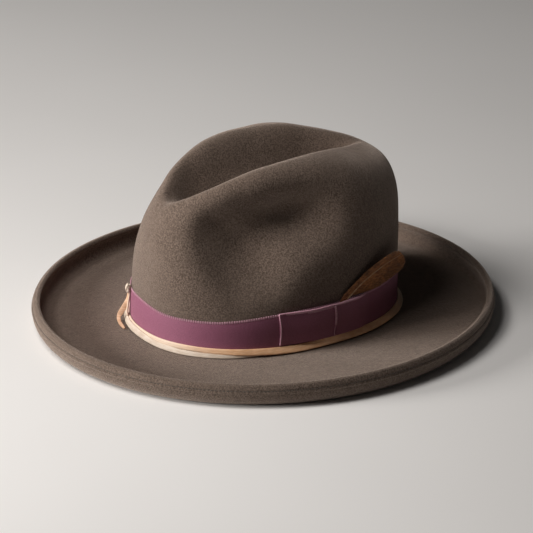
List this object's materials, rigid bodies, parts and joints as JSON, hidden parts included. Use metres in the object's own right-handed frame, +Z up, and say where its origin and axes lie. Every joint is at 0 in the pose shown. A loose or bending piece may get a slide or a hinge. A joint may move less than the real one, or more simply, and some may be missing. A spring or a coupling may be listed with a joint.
{
  "type": "fedora hat",
  "caption": "Fur-felt fedora with a pinched teardrop crown, pencil-curl brim, grosgrain ribbon, leather lace and a feather tucked behind the bow.",
  "frame": {"origin": "centre of the resting plane: the flat underside of the brim lies on z = 0, below the middle of the brim's outline", "axes": "+Z up through the crown, front of the hat along -Y, wearer's left (bow and feather) along +X"},
  "size_m": [0.3488, 0.3684, 0.1408],
  "materials": {
    "felt": "soft brushed fur-felt nap",
    "welt_thread": "dull twisted sewing thread",
    "ribbon": "ribbed grosgrain with a light picot edge",
    "ribbon_thread": "fine twisted thread",
    "lace_tan": "raw-edged matt leather lace",
    "lace_cream": "raw-edged matt leather lace, light side out",
    "feather": "soft barbs with a faint sheen",
    "quill": "smooth horn-like shaft",
    "sweat_leather": "smooth glazed sweatband leather",
    "reed": "smooth flexible rod",
    "tape": "plain woven tape",
    "lining": "satin with a soft sheen",
    "tab": "plain woven tab, blank"
  },
  "bodies": {
    "hat": {"felt_body": "felt", "welt_thread": "welt_thread", "ribbon_band": "ribbon", "bow_panel": "ribbon", "bow_tail": "ribbon", "bow_stitches": "ribbon_thread", "lace_upper": "lace_tan", "lace_lower": "lace_cream", "lace_riser": "lace_tan", "lace_knot": "lace_cream", "lace_tail": "lace_tan", "sweatband": "sweat_leather", "sweatband_reed": "reed", "reed_tape": "tape", "sweatband_thread": "welt_thread", "sweatband_bow": "ribbon", "size_tab": "tab", "lining_side": "lining", "lining_tip": "lining", "lining_piping": "tape"},
    "feather": {"feather_quill": "quill", "feather_vane": "feather"}
  },
  "joints": [
    {"name": "feather_slide", "type": "slide", "parent": "hat", "child": "feather", "axis": [-0.0976, 0.7948, 0.599], "range_m": [0, 0.024]}
  ]
}
